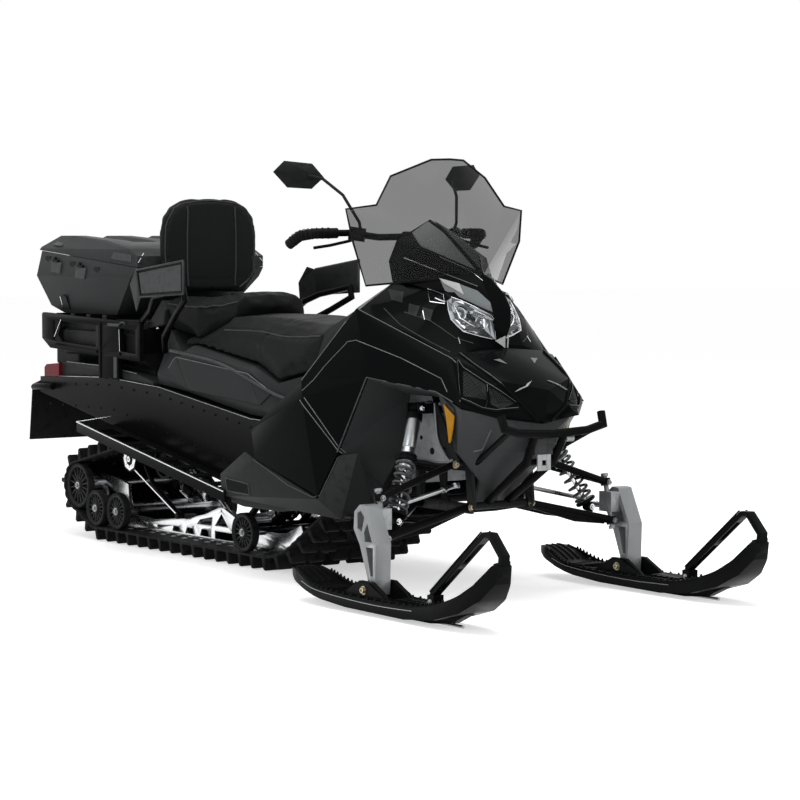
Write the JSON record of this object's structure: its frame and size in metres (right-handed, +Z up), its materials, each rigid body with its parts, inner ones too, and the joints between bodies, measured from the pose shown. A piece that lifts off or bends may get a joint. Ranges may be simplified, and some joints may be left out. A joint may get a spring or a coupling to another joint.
{
  "type": "two-seat utility snowmobile",
  "caption": "Wide-track two-up utility snowmobile with steering skis, windshield, passenger backrest, rear rack and lidded cargo box.",
  "frame": {"origin": "centre of the footprint of the bounding box, on the ground", "axes": "+X forward, +Y to the rider's left, +Z up"},
  "size_m": [3.284, 1.15, 1.3761],
  "materials": {
    "black_metal": "satin black powder coat",
    "dark_plastic": "dark grey moulded plastic",
    "gloss_black": "gloss black body panel",
    "alloy": "bright bare aluminium",
    "cast_alloy": "cast aluminium, grey",
    "track_rubber": "black track rubber",
    "wheel_plastic": "black moulded wheel",
    "seat_vinyl": "black grained vinyl",
    "grip_rubber": "black grip rubber",
    "screen": "smoke-tinted clear sheet",
    "lens": "clear lamp lens",
    "red_lens": "red lamp lens",
    "ski_plastic": "black moulded ski",
    "steel": "bright steel",
    "box_plastic": "dark grey textured box plastic"
  },
  "bodies": {
    "chassis": {"arch_liners": "dark_plastic", "backrest": "seat_vinyl", "bulkhead": "cast_alloy", "cargo_box": "box_plastic", "cargo_rack": "black_metal", "chin": "dark_plastic", "console": "dark_plastic", "drive_axle": "steel", "driver_seat": "seat_vinyl", "engine": "cast_alloy", "frame_tubes": "black_metal", "front_bumper": "black_metal", "front_shocks": "steel", "gauge_pod": "gloss_black", "grab_bars": "black_metal", "hand_deflectors": "dark_plastic", "headlamps": "lens", "hood": "gloss_black", "idler_wheels": "wheel_plastic", "lower_panels": "dark_plastic", "nose": "gloss_black", "passenger_seat": "seat_vinyl", "rack_storage": "dark_plastic", "rear_bumper": "black_metal", "rear_cover": "dark_plastic", "running_boards": "black_metal", "seat_base": "dark_plastic", "shock_springs": "black_metal", "side_panels": "gloss_black", "skid_arms": "black_metal", "skid_springs": "black_metal", "slide_rails": "alloy", "snow_flap": "dark_plastic", "suspension_arms": "black_metal", "tail_lamps": "red_lens", "track": "track_rubber", "tunnel": "black_metal", "windshield": "screen"},
    "steering": {"handlebar": "black_metal", "grips": "grip_rubber", "bar_controls": "dark_plastic", "mirrors": "dark_plastic"},
    "spindle_left": {"spindle_left": "cast_alloy"},
    "spindle_right": {"spindle_right": "cast_alloy"},
    "tie_rod_left": {"tie_rod_left": "steel"},
    "tie_rod_right": {"tie_rod_right": "steel"},
    "ski_left": {"ski_left": "ski_plastic"},
    "ski_right": {"ski_right": "ski_plastic"},
    "lid": {"cargo_lid": "box_plastic"}
  },
  "joints": [
    {"name": "steering", "type": "hinge", "parent": "chassis", "child": "steering", "pos_m": [0.552, 0, 1.085], "axis": [-0.5735, 0, 0.8192], "range_deg": [-28, 28]},
    {"name": "spindle_left", "type": "hinge", "parent": "chassis", "child": "spindle_left", "pos_m": [0.985, 0.45, 0.215], "axis": [-0.237, 0, 0.9715], "range_deg": [-27, 27]},
    {"name": "tie_rod_left", "type": "hinge", "parent": "spindle_left", "child": "tie_rod_left", "pos_m": [0.878, 0.44, 0.262], "axis": [-0.237, 0, 0.9715], "range_deg": [-27, 27]},
    {"name": "ski_pitch_left", "type": "hinge", "parent": "spindle_left", "child": "ski_left", "pos_m": [1.018, 0.5, 0.07], "axis": [0, -1, 0], "range_deg": [-12, 20], "stiffness_Nm_per_rad": 60},
    {"name": "spindle_right", "type": "hinge", "parent": "chassis", "child": "spindle_right", "pos_m": [0.985, -0.45, 0.215], "axis": [-0.237, 0, 0.9715], "range_deg": [-27, 27]},
    {"name": "tie_rod_right", "type": "hinge", "parent": "spindle_right", "child": "tie_rod_right", "pos_m": [0.878, -0.44, 0.262], "axis": [-0.237, 0, 0.9715], "range_deg": [-27, 27]},
    {"name": "ski_pitch_right", "type": "hinge", "parent": "spindle_right", "child": "ski_right", "pos_m": [1.018, -0.5, 0.07], "axis": [0, -1, 0], "range_deg": [-12, 20], "stiffness_Nm_per_rad": 60},
    {"name": "lid_hinge", "type": "hinge", "parent": "chassis", "child": "lid", "pos_m": [-1.16, 0.279, 1.056], "axis": [-0.9966, 0, 0.0827], "range_deg": [0, 80]}
  ],
  "couplings": [
    {"joint": "spindle_left", "follows": "steering", "ratio": 0.95},
    {"joint": "spindle_right", "follows": "steering", "ratio": 0.95},
    {"joint": "tie_rod_left", "follows": "steering", "ratio": -0.95},
    {"joint": "tie_rod_right", "follows": "steering", "ratio": -0.95}
  ]
}
